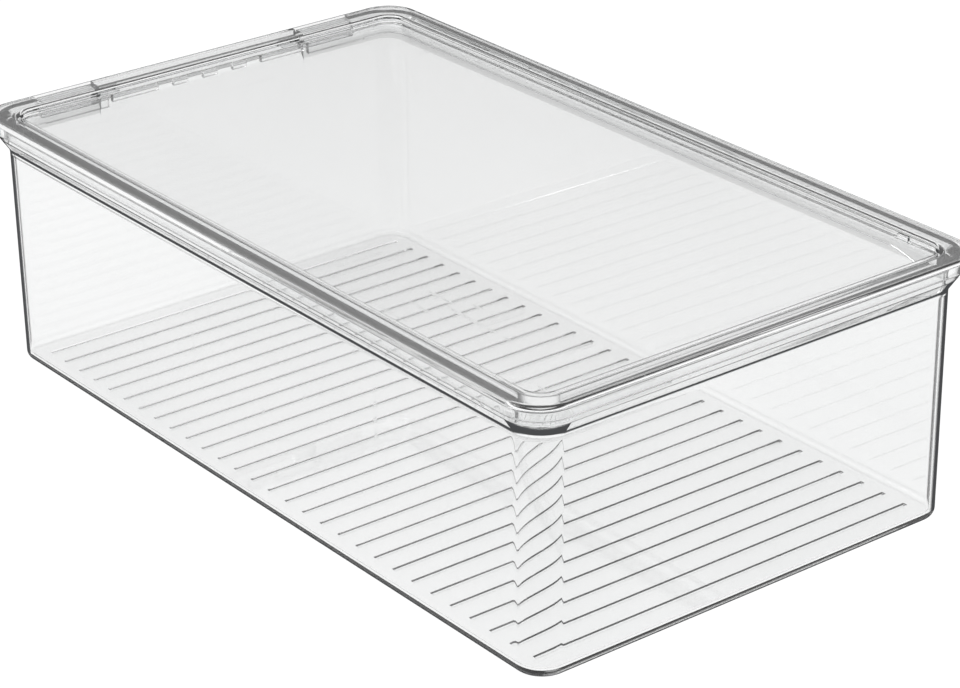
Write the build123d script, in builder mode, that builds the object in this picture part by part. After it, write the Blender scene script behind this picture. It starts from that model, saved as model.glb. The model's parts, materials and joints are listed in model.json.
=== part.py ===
from build123d import *
from math import hypot, radians, tan
import os

# Clear shoe box: a drafted tub with a grooved floor, and a lid hinged along the back short side.
# The lid turns on two short pins. Frame: X across the short side, Y along the box with the front
# (the edge that is lifted) at -Y and the hinge at +Y, Z up, origin at the middle of the base.

# ---------------------------------------------------------------- overall sizes, in millimetres
lid_width = 200.0          # X, over the lid's outer edge
lid_length = 340.0         # Y, over the lid's outer edge
box_height = 102.0         # Z, base to the top of the closed lid's bead
lid_corner_r = 14.0        # plan radius of the lid's outer corners

# ---------------------------------------------------------------- tub
wall = 2.0                 # side walls
floor = 2.2                # base plate
wall_draft = 0.35          # degrees, so that the tub leaves its mould
rim_overhang = 6.0         # lid's outer edge to the tub's outer wall, at the rim
wall_corner_r = 11.5       # plan radius of the tub's outer corners
base_edge_r = 3.0          # rounding under the tub
floor_fillet_r = 2.0       # inside, floor to wall
flange_gap = 0.4           # lid's outer skirt to the rim flange inside it
flange_drop = 8.2          # top of the lid down to the flange's lower edge
cove_drop = 14.0           # top of the lid down to where the flange's cove meets the wall
cove_r = 4.0               # easing where the cove meets the wall
flange_edge_r = 1.0        # easing of the flange's lower edge

groove_pitch = 10.75       # shallow floor grooves, parallel to the short side
groove_width = 2.0
groove_depth = 0.6
groove_side_margin = 8.9   # base's outer edge to a groove's end
groove_end_margin = 12.5   # base's outer edge to the first and last grooves, at least

# ---------------------------------------------------------------- lid
crown = 2.0                # plate over the rim
panel = 2.0                # recessed middle
panel_drop = 3.0           # top of the bead down to the top of the panel
seat_gap = 0.2             # under the crown, above the tub's rim
outer_skirt = 1.8          # thickness of the outer skirt
outer_skirt_drop = 5.5     # top of the bead down to the outer skirt's lower edge
inner_skirt = 1.8          # thickness of the locating skirt inside the tub
inner_skirt_gap = 0.5      # between the locating skirt and the tub's inner wall
inner_skirt_drop = 9.3     # top of the bead down to the locating skirt's edge, along the sides
front_skirt_extra = 2.9    # how much deeper it is along the front
front_skirt_run = 22.0     # how far the deep front skirt comes back along each side
crown_outer_r = 1.6        # rounding of the bead's outer top edge
crown_inner_r = 1.0        # rounding of the bead's inner top edge
nub_length = 5.4           # two small stacking nubs against the bead, near the front corners
nub_proud = 1.0
nub_height = 1.4
nub_setback = 30.7         # lid's front edge to a nub's middle

# ---------------------------------------------------------------- hinge
knuckle_edge_gap = 0.2     # lid's back edge to the outside of the knuckles
knuckle_wall_gap = 0.4     # tub's back wall to the lid's barrel
skirt_to_axis = 1.3        # outer skirt's lower edge down to the hinge axis
swing_gap = 0.7            # tub's rim to the back skirt, where it swings past
knuckle_wall = 1.5         # thickness round the pins
pin_running_gap = 0.05     # radial, pin to the lid's bore
pin_end_gap = 0.5          # pin's tip to the end of the lid's bore
pin_reach = 9.0            # length of pin inside the lid's barrel
pin_tip = 0.4              # lead-in chamfer
pin_head_step = 0.7        # head's radius over the pin's
pin_head = 1.0             # thickness of the head, sunk into the knuckle
knuckle_corner_gap = 12.0  # lid's corner rounding to a tub knuckle's outer end
tub_knuckle_length = 25.5
knuckle_gap = 0.5          # along the axis, between neighbouring knuckles
web = 1.8                  # joins the lid's barrel to its crown

tab_count = 3              # short tabs on the back skirt
tab_width = 6.5
tab_pitch = 14.0
lip_tab_gap = 7.25         # outer tab to the lip beside it
lip_guard_gap = 2.0        # lip to the guard beside it
lip_reach = 3.0            # tabs and lips below the panel
guard_inner_reach = 1.0    # deeper skirts in front of the tub's knuckles: past a knuckle's inner end
guard_outer_reach = 1.5    # past its outer end
guard_extra = 0.4          # and below the side skirts

near = 0.01                # for picking edges at a height

# ---------------------------------------------------------------- what follows from them
rim_z = box_height - crown - seat_gap
cove_z = box_height - cove_drop
flange_z = box_height - flange_drop
panel_z = box_height - panel_drop
back_y = lid_length / 2
flange_inset = outer_skirt + flange_gap
side_skirt_inset = rim_overhang + wall + inner_skirt_gap
skirt_corner_r = wall_corner_r - wall - inner_skirt_gap
front_skirt_drop = inner_skirt_drop + front_skirt_extra

barrel_r = (rim_overhang - knuckle_edge_gap - knuckle_wall_gap) / 2
pin_r = barrel_r - knuckle_wall
pin_head_r = pin_r + pin_head_step
axis_inset = knuckle_edge_gap + barrel_r
axis_drop = outer_skirt_drop + skirt_to_axis
axis_y = back_y - axis_inset
axis_z = box_height - axis_drop
rim_swing_r = hypot(rim_overhang + wall - axis_inset, axis_drop - crown - seat_gap)
back_skirt_inset = axis_inset + rim_swing_r + swing_gap

knuckle_outer = lid_width / 2 - lid_corner_r - knuckle_corner_gap
tub_knuckle_inner = knuckle_outer - tub_knuckle_length
barrel_half = tub_knuckle_inner - knuckle_gap
guard_inner = tub_knuckle_inner - guard_inner_reach
guard_outer = knuckle_outer + guard_outer_reach
guard_drop = inner_skirt_drop + guard_extra
lip_inner = (tab_count - 1) * tab_pitch / 2 + tab_width / 2 + lip_tab_gap
lip_outer = guard_inner - lip_guard_gap


def wall_inset(z):
    """Distance from the lid's outer edge to the tub's outer wall at height z."""
    return rim_overhang + (rim_z - z) * tan(radians(wall_draft))


def outline(inset, radius):
    """Rounded rectangle at an inset from the lid's outer edge."""
    return RectangleRounded(lid_width - 2 * inset, lid_length - 2 * inset, radius)


def skirt_outline(inward):
    """Outline of the locating skirt, moved inward by a distance; its back side stands further in."""
    side = side_skirt_inset + inward
    back = back_skirt_inset + inward
    with Locations((0, (side - back) / 2)):
        RectangleRounded(lid_width - 2 * side, lid_length - side - back, skirt_corner_r - inward)


# ---------------------------------------------------------------- tub
with BuildPart() as tub:
    # Drafted outside, from the base up to the cove.
    with BuildSketch(Plane.XY):
        outline(wall_inset(0), wall_corner_r)
    with BuildSketch(Plane.XY.offset(cove_z)):
        outline(wall_inset(cove_z), wall_corner_r)
    loft(ruled=True)
    fillet(tub.faces().sort_by(Axis.Z)[0].edges(), base_edge_r)

    # The cove spreads out to the rim flange, whose corners follow the wall's.
    with BuildSketch(Plane.XY.offset(cove_z)):
        outline(wall_inset(cove_z), wall_corner_r)
    with BuildSketch(Plane.XY.offset(flange_z)):
        outline(flange_inset, wall_corner_r + rim_overhang - flange_inset)
    loft(ruled=True)
    with BuildSketch(Plane.XY.offset(flange_z)):
        outline(flange_inset, wall_corner_r + rim_overhang - flange_inset)
    extrude(amount=rim_z - flange_z)
    fillet(tub.edges().filter_by_position(Axis.Z, cove_z - near, cove_z + near), cove_r)
    fillet(tub.edges().filter_by_position(Axis.Z, flange_z - near, flange_z + near), flange_edge_r)

    # The inside keeps the wall's thickness.
    with BuildSketch(Plane.XY.offset(floor)):
        outline(wall_inset(floor) + wall, wall_corner_r - wall)
    with BuildSketch(Plane.XY.offset(rim_z)):
        outline(wall_inset(rim_z) + wall, wall_corner_r - wall)
    loft(ruled=True, mode=Mode.SUBTRACT)
    fillet(tub.edges().filter_by_position(Axis.Z, floor - near, floor + near), floor_fillet_r)

    # Shallow grooves with round ends, evenly spaced along the floor.
    base_width = lid_width - 2 * wall_inset(0)
    base_length = lid_length - 2 * wall_inset(0)
    groove_count = int((base_length - 2 * groove_end_margin) / groove_pitch) + 1
    with BuildSketch(Plane.XY.offset(floor)):
        with GridLocations(groove_pitch, groove_pitch, 1, groove_count):
            SlotOverall(base_width - 2 * groove_side_margin, groove_width)
    extrude(amount=-groove_depth, mode=Mode.SUBTRACT)

    # Between its knuckles the flange is left out, to make room for the lid's barrel.
    with BuildSketch(Plane.XY.offset(cove_z)):
        with Locations((0, back_y - rim_overhang / 2)):
            Rectangle(2 * tub_knuckle_inner, rim_overhang)
    extrude(amount=rim_z - cove_z, mode=Mode.SUBTRACT)

    # Two knuckles, bored for the pins, with a sunk seat for each pin's head.
    for side in (-1, 1):
        with BuildSketch(Plane.YZ.offset(side * tub_knuckle_inner)):
            with Locations((axis_y, axis_z)):
                Circle(barrel_r)
        extrude(amount=side * tub_knuckle_length)
        with BuildSketch(Plane.YZ.offset(side * tub_knuckle_inner)):
            with Locations((axis_y, axis_z)):
                Circle(pin_r)
        extrude(amount=side * tub_knuckle_length, mode=Mode.SUBTRACT)
        with BuildSketch(Plane.YZ.offset(side * (knuckle_outer - pin_head))):
            with Locations((axis_y, axis_z)):
                Circle(pin_head_r)
        extrude(amount=side * pin_head, mode=Mode.SUBTRACT)
tub.part.label = "tub"

# ---------------------------------------------------------------- lid
with BuildPart() as lid:
    # Bead: a crown with an outer skirt that hangs over the tub's flange.
    with BuildSketch(Plane.XY.offset(box_height - outer_skirt_drop)):
        outline(0, lid_corner_r)
    extrude(amount=outer_skirt_drop)
    fillet(lid.faces().sort_by(Axis.Z)[-1].edges(), crown_outer_r)
    with BuildSketch(Plane.XY.offset(box_height - outer_skirt_drop)):
        outline(outer_skirt, lid_corner_r - outer_skirt)
    extrude(amount=outer_skirt_drop - crown, mode=Mode.SUBTRACT)

    # Locating skirt inside the tub.
    with BuildSketch(Plane.XY.offset(box_height - inner_skirt_drop)):
        skirt_outline(0)
    extrude(amount=inner_skirt_drop - crown)

    # It is deeper along the front and a little way back along each side.
    with BuildSketch(Plane.XY.offset(box_height - front_skirt_drop)):
        skirt_outline(0)
        with Locations((0, front_skirt_run + side_skirt_inset)):
            Rectangle(lid_width, lid_length, mode=Mode.SUBTRACT)
    extrude(amount=front_skirt_drop - inner_skirt_drop)

    # Hollow under the panel, then the recess above it.
    with BuildSketch(Plane.XY.offset(box_height - front_skirt_drop)):
        skirt_outline(inner_skirt)
    extrude(amount=front_skirt_drop - panel_drop - panel, mode=Mode.SUBTRACT)
    with BuildSketch(Plane.XY.offset(panel_z)):
        skirt_outline(inner_skirt)
    extrude(amount=panel_drop, mode=Mode.SUBTRACT)
    fillet(lid.faces().sort_by(Axis.Z)[-1].inner_wires().edges(), crown_inner_r)

    # Along the back the skirt is cut to tabs, lips and two guards in front of the knuckles.
    back_skirt_y = back_y - back_skirt_inset - inner_skirt / 2
    skirt_root_z = panel_z - panel
    guard_reach = guard_drop - panel_drop - panel
    skirt_reach = front_skirt_drop - panel_drop - panel
    with BuildSketch(Plane.XZ.offset(-back_skirt_y)):
        with Locations((0, skirt_root_z - skirt_reach / 2)):
            Rectangle(2 * guard_outer, skirt_reach)
        with Locations((0, skirt_root_z - lip_reach / 2)):
            with GridLocations(tab_pitch, tab_pitch, tab_count, 1):
                Rectangle(tab_width, lip_reach, mode=Mode.SUBTRACT)
            with GridLocations(lip_inner + lip_outer, lip_reach, 2, 1):
                Rectangle(lip_outer - lip_inner, lip_reach, mode=Mode.SUBTRACT)
        with Locations((0, skirt_root_z - guard_reach / 2)):
            with GridLocations(guard_inner + guard_outer, guard_reach, 2, 1):
                Rectangle(guard_outer - guard_inner, guard_reach, mode=Mode.SUBTRACT)
    extrude(amount=inner_skirt / 2, both=True, mode=Mode.SUBTRACT)
    with BuildSketch(Plane.XY.offset(box_height - guard_drop)):
        with Locations((0, back_skirt_y)):
            with GridLocations(guard_inner + guard_outer, inner_skirt, 2, 1):
                Rectangle(guard_outer - guard_inner, inner_skirt)
    extrude(amount=guard_drop - inner_skirt_drop)

    # Stacking nubs on the panel, against the bead.
    nub_x = lid_width / 2 - side_skirt_inset - inner_skirt - nub_proud / 2
    with BuildSketch(Plane.XY.offset(panel_z)):
        with Locations((0, nub_setback - back_y)):
            with GridLocations(2 * nub_x, nub_length, 2, 1):
                Rectangle(nub_proud, nub_length)
    extrude(amount=nub_height)

    # The outer skirt is cut away over the tub's knuckles.
    with BuildSketch(Plane.XY.offset(box_height - outer_skirt_drop)):
        with Locations((0, back_y - outer_skirt / 2)):
            with GridLocations(tub_knuckle_inner + knuckle_outer, outer_skirt, 2, 1):
                Rectangle(tub_knuckle_length + 2 * knuckle_gap, outer_skirt)
    extrude(amount=outer_skirt_drop - crown, mode=Mode.SUBTRACT)

    # Barrel between the tub's knuckles, on a web under the crown, with a blind bore at each end.
    with BuildSketch(Plane.YZ.offset(-barrel_half)):
        with Locations((axis_y, axis_z)):
            Circle(barrel_r)
        with Locations((axis_y + barrel_r - web / 2, (axis_z + box_height - crown) / 2)):
            Rectangle(web, box_height - crown - axis_z)
    extrude(amount=2 * barrel_half)
    for side in (-1, 1):
        with BuildSketch(Plane.YZ.offset(side * barrel_half)):
            with Locations((axis_y, axis_z)):
                Circle(pin_r + pin_running_gap)
        extrude(amount=-side * (pin_reach + pin_end_gap), mode=Mode.SUBTRACT)
lid.part.label = "lid"


# ---------------------------------------------------------------- hinge pins
def hinge_pin(side):
    """Headed pin, pressed through a tub knuckle and running in the lid's barrel; side is -1 or 1."""
    tip_x = barrel_half - pin_reach
    with BuildPart() as pin:
        with BuildSketch(Plane.YZ.offset(side * tip_x)):
            with Locations((axis_y, axis_z)):
                Circle(pin_r)
        extrude(amount=side * (knuckle_outer - pin_head - tip_x))
        tip = pin.faces().sort_by(Axis.X)[0 if side > 0 else -1]
        chamfer(tip.edges(), pin_tip)
        with BuildSketch(Plane.YZ.offset(side * (knuckle_outer - pin_head))):
            with Locations((axis_y, axis_z)):
                Circle(pin_head_r)
        extrude(amount=side * pin_head)
    return pin.part


hinge_pin_left = hinge_pin(-1)
hinge_pin_left.label = "hinge_pin_left"
hinge_pin_right = hinge_pin(1)
hinge_pin_right.label = "hinge_pin_right"

# ---------------------------------------------------------------- export
os.makedirs("parts", exist_ok=True)
export_step(tub.part, "parts/tub.step")
export_step(lid.part, "parts/lid.step")
export_step(hinge_pin_left, "parts/hinge_pin_left.step")
export_step(hinge_pin_right, "parts/hinge_pin_right.step")
for piece in (tub.part, lid.part, hinge_pin_left, hinge_pin_right):
    print(piece.label, round(piece.volume / 1000, 3), "cm3,", len(piece.solids()), "solid")
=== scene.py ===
# %% [markdown]
# # A clear shoe box with a hinged lid
#
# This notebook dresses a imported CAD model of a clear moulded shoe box. The real box is two
# injection mouldings in clear styrene plastic, a tub and a lid, that turn on two short pins
# along the back short side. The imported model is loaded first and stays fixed: it says where
# every part is, and every new surface below is worked out from it.

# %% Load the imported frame
import json
from math import atan2, cos, degrees, pi, radians, sin, sqrt, tan

import bmesh
import bpy
import numpy as np
from mathutils import Matrix, Vector


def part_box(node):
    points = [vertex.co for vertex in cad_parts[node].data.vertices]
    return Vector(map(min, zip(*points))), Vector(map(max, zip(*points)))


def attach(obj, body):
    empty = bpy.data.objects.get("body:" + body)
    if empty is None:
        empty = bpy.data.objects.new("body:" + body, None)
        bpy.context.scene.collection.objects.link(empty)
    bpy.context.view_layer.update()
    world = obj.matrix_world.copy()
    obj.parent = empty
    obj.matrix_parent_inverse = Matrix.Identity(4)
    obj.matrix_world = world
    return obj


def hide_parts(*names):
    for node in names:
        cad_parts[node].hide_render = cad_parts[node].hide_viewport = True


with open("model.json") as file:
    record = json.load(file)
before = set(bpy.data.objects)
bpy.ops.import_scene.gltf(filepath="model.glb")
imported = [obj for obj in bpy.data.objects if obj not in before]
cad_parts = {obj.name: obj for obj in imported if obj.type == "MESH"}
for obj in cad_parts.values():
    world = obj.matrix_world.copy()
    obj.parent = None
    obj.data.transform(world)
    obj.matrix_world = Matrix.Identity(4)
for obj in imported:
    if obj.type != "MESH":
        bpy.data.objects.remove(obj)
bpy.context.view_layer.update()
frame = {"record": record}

MM = 0.001

# %% [markdown]
# ## Sizes
#
# The outer sizes, the rim's height and the hinge axis are read from the frame. Wall
# thicknesses, roundings and the small details of the hinge can't be read from a box, so the
# moulding's own values are repeated here, in metres. Insets are measured inwards from the
# closed lid's outer edge and drops are measured down from its top, because that is how the
# two mouldings are laid out against each other.

# %% Sizes read from the frame
lid_low, lid_high = (np.array(corner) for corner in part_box("lid"))
joint = frame["record"]["behaviour"]["joints"][0]
AXIS_Y, AXIS_Z = joint["pos_m"][1], joint["pos_m"][2]

WIDTH = lid_high[0] - lid_low[0]
LENGTH = lid_high[1] - lid_low[1]
TOP = lid_high[2]
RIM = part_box("tub")[1][2]
AXIS_INSET = LENGTH / 2 - AXIS_Y
print("closed size in mm:", np.round(np.array([WIDTH, LENGTH, TOP]) / MM, 2))
print("rim at", round(RIM / MM, 2), "mm, hinge", round(AXIS_INSET / MM, 2), "mm in from the back")

# %% The tub's own sizes
WALL, FLOOR, DRAFT = 2.0 * MM, 2.2 * MM, radians(0.35)
OVERHANG, FLANGE_INSET, FLANGE_DROP = 6.0 * MM, 2.2 * MM, 8.2 * MM
COVE_DROP, COVE_R, FLANGE_EDGE_R = 14.0 * MM, 4.0 * MM, 1.0 * MM
BASE_EDGE_R, FLOOR_FILLET_R, EDGE_R = 3.0 * MM, 2.0 * MM, 0.35 * MM
TUB_CENTRE = 17.5 * MM
GROOVE_PITCH, GROOVE_WIDTH, GROOVE_DEPTH, GROOVE_COUNT = 10.75 * MM, 2.0 * MM, 0.6 * MM, 29
GROOVE_END = 84.5 * MM
print("tub wall", WALL / MM, "mm,", GROOVE_COUNT, "grooves", 2 * GROOVE_END / MM, "mm long")

# %% The lid's own sizes
CROWN, PANEL, PANEL_DROP = 2.0 * MM, 2.0 * MM, 3.0 * MM
LID_CENTRE, SKIRT, SKIRT_DROP = 14.0 * MM, 1.8 * MM, 5.5 * MM
INNER_INSET, INNER_SKIRT = 8.5 * MM, 1.8 * MM
BACK_SHIFT = 1.97 * MM   # how much further in the locating skirt stands along the back
SIDE_DEPTH, FRONT_DEPTH, LIP_DEPTH, GUARD_DEPTH = 9.3 * MM, 12.2 * MM, 8.0 * MM, 9.7 * MM
FRONT_TURN = np.linspace(-148, -132, 13) * MM   # where the front's depth runs out
CROWN_OUTER_R, CROWN_INNER_R = 1.6 * MM, 1.0 * MM
NUB_Y = (-142.0 * MM, -136.6 * MM)
NUB_PROUD, NUB_HEIGHT = 1.0 * MM, 1.4 * MM
print("lid panel", PANEL / MM, "mm thick,", PANEL_DROP / MM, "mm below the bead")

# %% The hinge's own sizes
BARREL_R, BARREL_HALF = 2.7 * MM, 48.0 * MM
WEB = 1.8 * MM           # thickness of the strip that joins the barrel to the crown
KNUCKLE, KNUCKLE_CHAMFER = (48.5 * MM, 74.0 * MM), 0.2 * MM
NOTCH_END, GUARD = 74.5 * MM, (47.5 * MM, 75.5 * MM)
LIP, TAB_WIDTH, TAB_PITCH = (24.5 * MM, 45.5 * MM), 6.5 * MM, 14.0 * MM
PIN_R, PIN_HEAD_R, PIN_HEAD, PIN_TIP_X = 1.2 * MM, 1.9 * MM, 1.0 * MM, 39.0 * MM
RUNNING_FIT = 0.05 * MM  # the barrel's bore is this much wider than the pin, all round
BORE_END = 0.5 * MM      # how far the barrel's bore goes on past the pin's tip
OVERRUN = 0.02 * MM      # how far a bore's cutter stands out of the face it opens
print("pins run from", PIN_TIP_X / MM, "to", KNUCKLE[1] / MM, "mm either side of the middle")

# %% [markdown]
# ## How a moulding is laid out
#
# Both mouldings are one thin shell that follows a rounded rectangle, so each can be made as
# a profile carried once round that outline, with a flat sheet closing each end. Extruding
# boxes and cutting them would also work, but it leaves hard edges, and clear plastic shows
# every rounding as a bright or dark line. Carrying a drawn profile gives each rounding its
# own rows of faces.
#
# The outline is a list of stations. At each one the point for a profile's (inset, centre,
# shift) is a straight sum: the outer corner, minus inset along the outward normal, plus
# centre times the step that turns a square corner round, minus shift on the back side only.
# The sum is linear, so a whole shell is a single array expression.

# %% Stations round the outline
ARC = 10          # faces in half a corner
GAP = 0.01 * MM   # half the width of a step between two neighbouring profiles


def stations(origin, centre, normal, back, side):
    """One run of stations as equally long arrays."""
    count = len(normal)
    return dict(
        origin=np.broadcast_to(origin, (count, 2)),
        centre=np.broadcast_to(centre, (count, 2)),
        normal=normal,
        back=np.tile([0.0, float(back)], (count, 1)),
        side=np.full(count, side),
    )


def plan(x_stops, y_stops):
    """Stations anticlockwise from the front left corner. Each corner is a quarter circle of
    2 * ARC steps shared by its two sides, and each side also stops at the given places."""
    runs = []
    turn = np.linspace(0, pi / 4, ARC + 1)
    sides = ((-pi / 2, x_stops), (0.0, y_stops), (pi / 2, -x_stops[::-1]), (pi, -y_stops[::-1]))
    for side, (facing, stops) in enumerate(sides):
        normal = np.round([cos(facing), sin(facing)])
        along = np.array([-normal[1], normal[0]])
        half = abs(normal @ [WIDTH / 2, LENGTH / 2])
        for way, angles in ((-1, facing - turn[::-1]), (0, None), (1, facing + turn[:-1])):
            corner = normal + way * along
            if way:
                n = np.stack([np.cos(angles), np.sin(angles)], 1)
                origin, centre = corner * [WIDTH / 2, LENGTH / 2], n - corner
            else:
                n = np.tile(normal, (len(stops), 1))
                origin, centre = normal * half + np.outer(stops, along), np.zeros(2)
            runs.append(stations(origin, centre, n, corner[1] > 0, side))
    made = {key: np.concatenate([run[key] for run in runs]) for key in runs[0]}
    made["x_stops"], made["y_stops"] = x_stops, y_stops
    return made


def carry(outline, inset, centre, shift, z):
    """Points (profile, station, xyz) for arrays of inset, centre, shift and z of that shape."""
    xy = (
        outline["origin"][None]
        + centre[..., None] * outline["centre"][None]
        - inset[..., None] * outline["normal"][None]
        - shift[..., None] * outline["back"][None]
    )
    return np.concatenate([xy, z[..., None]], -1)


print("stations on each quarter circle:", 2 * ARC + 1)

# %% Faces and closing sheets
def strip_faces(rows, columns, start=0):
    """Quads of a grid whose columns close into a ring, facing along column x row."""
    j, k = np.arange(rows - 1)[:, None], np.arange(columns)[None, :]
    nxt = (k + 1) % columns
    quads = [j * columns + k, j * columns + nxt, (j + 1) * columns + nxt, (j + 1) * columns + k]
    return start + np.stack(np.broadcast_arrays(*quads), -1).reshape(-1, 4)


def sheet_faces(rows, columns, start=0, upward=True):
    """Quads of an open grid, facing up or down."""
    j, i = np.arange(rows - 1)[:, None], np.arange(columns - 1)[None, :]
    a = j * columns + i
    quads = np.stack([a, a + 1, a + columns + 1, a + columns], -1).reshape(-1, 4)
    return start + (quads if upward else quads[:, ::-1])


def sheet(outline, inset, centre, shift, z):
    """The flat sheet inside one ring of a shell, as an array (y, x, xyz). Away from the corners
    a point keeps its place. In a corner, (u, v) in the unit square goes to
    (u sqrt(1 - v^2 / 2), v sqrt(1 - u^2 / 2)) in the quarter circle, so the sheet's edge
    is exactly the ring."""
    unit = sqrt(2) * np.sin(np.linspace(pi / 4, 0, ARC + 1))
    r = centre - inset

    def axis(half, stops, far_shift):
        low, high = centre - half, half - centre - far_shift
        at = np.concatenate([np.full(ARC + 1, low), stops, np.full(ARC + 1, high)])
        return at, np.concatenate([-unit, np.zeros(len(stops)), unit[::-1]])

    x0, u = axis(WIDTH / 2, outline["x_stops"], 0)
    y0, v = axis(LENGTH / 2, outline["y_stops"], shift)
    u, v = u[None, :], v[:, None]
    x = x0[None, :] + r * u * np.sqrt(1 - v**2 / 2)
    y = y0[:, None] + r * v * np.sqrt(1 - u**2 / 2)
    return np.stack([x, y, np.full_like(x, z)], -1)


print("two rows round", 8 * ARC, "stations make", len(strip_faces(2, 8 * ARC)), "faces")

# %% [markdown]
# ## Drawing a profile
#
# A moulder's drawing gives straight runs joined by radii. The helper below takes the same:
# corner points and a radius for each. Every point also carries its centre and shift from
# the layout above, so that a rounding near the lid's edge turns its corners about one centre
# and a skirt further in about another.

# %% Rounded and resampled profiles
def rounded(points, radii, steps=6, support=0.5 * MM):
    """A polyline of rows (inset, z, centre, shift) with each inner corner turned into an arc.
    The arc starts r tan(a / 2) before the corner, a being the turn, and a support point
    stands just outside each end of it so that shading on the flat runs stays flat."""
    points = np.array(points, float)
    out = [points[0]]
    for before, here, after, r in zip(points[:-2], points[1:-1], points[2:], radii):
        a, b = before[:2] - here[:2], after[:2] - here[:2]
        la, lb = np.linalg.norm(a), np.linalg.norm(b)
        a, b = a / la, b / lb
        opening = np.arccos(np.clip(a @ b, -1, 1))
        reach = r / tan(opening / 2)
        middle = here[:2] + (a + b) / np.linalg.norm(a + b) * r / sin(opening / 2)
        start, end = here[:2] + a * reach, here[:2] + b * reach
        t = np.linspace(0, 1, steps + 1)[:, None]
        swing = pi - opening
        from_start, from_end = start - middle, end - middle
        blend = np.sin((1 - t) * swing) * from_start + np.sin(t * swing) * from_end
        arc = middle + blend / sin(swing)
        if la - reach > 2 * support:
            arc = np.concatenate([(start + a * support)[None], arc])
        if lb - reach > 2 * support:
            arc = np.concatenate([arc, (end + b * support)[None]])
        out.extend(np.concatenate([arc, np.tile(here[2:], (len(arc), 1))], 1))
    out.append(points[-1])
    return np.array(out)


def resampled(points, count):
    """The same line with count points, evenly spaced along its length in the drawing."""
    lengths = np.linalg.norm(np.diff(points[:, :2], axis=0), axis=1)
    run = np.concatenate([[0], np.cumsum(lengths)])
    at = np.linspace(0, run[-1], count)
    return np.stack([np.interp(at, run, column) for column in points.T], 1)


def around(middle, r, first, last, count, centre):
    """Profile rows on an arc about middle, from angle first to last in degrees: the inset is
    middle's plus r cos t and the height is middle's plus r sin t, with no shift."""
    t = np.radians(np.linspace(first, last, count))
    inset, z = middle[0] + r * np.cos(t), middle[1] + r * np.sin(t)
    return np.stack([inset, z, np.full(count, centre), np.zeros(count)], 1)


def steps_at(*edges):
    """Two stops, GAP before and after each edge, on both sides of the middle."""
    edges = np.array(edges)
    stops = np.concatenate([edges - GAP, edges + GAP])
    return np.unique(np.round(np.concatenate([stops, -stops]), 8))


corner = rounded([(0, 0, 0, 0), (0, 5 * MM, 0, 0), (5 * MM, 5 * MM, 0, 0)], [1 * MM])
print("a right angle with a 1 mm radius is drawn with", len(corner), "points")

# %% [markdown]
# ## Turning arrays into a finished piece
#
# The shell and its two closing sheets are put into one mesh, doubles are merged, and edges
# that turn by more than 35 degrees are kept sharp. The Weighted Normal modifier then leans
# each corner's shading towards the larger face, which keeps moulded flats optically flat.
#
# The plastic's material also needs to know where the moulding bends, because a bend shows as
# a dark line, which the material paints in as shade. Painting such lines by hand would be one
# way. Here the bend is measured from the finished mesh, and each face stores one number for
# it, named outline, that sets where the painted shade starts.

# %% Making and cutting a mesh
WELD = 0.001 * MM   # points nearer than this are one point


def as_piece(name, points, faces, material):
    """One object at the origin from vertex and face arrays, with doubles merged and open edges
    counted.
    """
    mesh = bpy.data.meshes.new(name)
    mesh.vertices.add(len(points))
    mesh.vertices.foreach_set("co", np.ascontiguousarray(points, dtype=np.float32).ravel())
    mesh.loops.add(faces.size)
    mesh.loops.foreach_set("vertex_index", np.ascontiguousarray(faces, dtype=np.int32).ravel())
    starts = np.arange(0, faces.size, faces.shape[1], dtype=np.int32)
    mesh.polygons.add(len(faces))
    mesh.polygons.foreach_set("loop_start", starts)
    mesh.update(calc_edges=True)
    work = bmesh.new()
    work.from_mesh(mesh)
    bmesh.ops.remove_doubles(work, verts=work.verts, dist=WELD)
    bmesh.ops.dissolve_degenerate(work, edges=work.edges, dist=WELD / 2)
    work.to_mesh(mesh)
    open_edges = sum(not edge.is_manifold for edge in work.edges)
    volume = work.calc_volume(signed=True)
    work.free()
    mesh.materials.append(material)
    piece = bpy.data.objects.new(name, mesh)
    bpy.context.scene.collection.objects.link(piece)
    print(f"{name}: {len(mesh.polygons)} faces, {open_edges} open edges, {volume * 1e6:.1f} cm3")
    return piece


def shell(name, outline, profile, lower, upper, material):
    """A closed moulding: a carried profile with its two sheets."""
    rows, columns = profile.shape[:2]
    strip = carry(outline, profile[..., 0], profile[..., 2], profile[..., 3], profile[..., 1])
    parts, faces, count = [strip.reshape(-1, 3)], [strip_faces(rows, columns)], rows * columns
    for surface, upward in ((lower, False), (upper, True)):
        faces.append(sheet_faces(*surface.shape[:2], start=count, upward=upward))
        parts.append(surface.reshape(-1, 3))
        count += len(parts[-1])
    return as_piece(name, np.concatenate(parts), np.concatenate(faces), material)


def chosen(variants, choice):
    """Profile rows per station: variants are equally long profiles, choice one number a
    station."""
    return np.stack(variants)[choice].transpose(1, 0, 2)


def turned(name, profile, material, segments=40):
    """A solid turned about the hinge axis. profile rows are (x, radius), from pole to pole:
    a point is (x, AXIS_Y + radius cos t, AXIS_Z + radius sin t)."""
    profile = np.array(profile)
    t = np.linspace(0, 2 * pi, segments, endpoint=False)
    x = np.repeat(profile[:, :1], segments, 1)
    y = AXIS_Y + np.outer(profile[:, 1], np.cos(t))
    z = AXIS_Z + np.outer(profile[:, 1], np.sin(t))
    faces = strip_faces(len(profile), segments)
    if profile[-1, 0] < profile[0, 0]:
        faces = faces[:, ::-1]
    return as_piece(name, np.stack([x, y, z], -1).reshape(-1, 3), faces, material)


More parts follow.
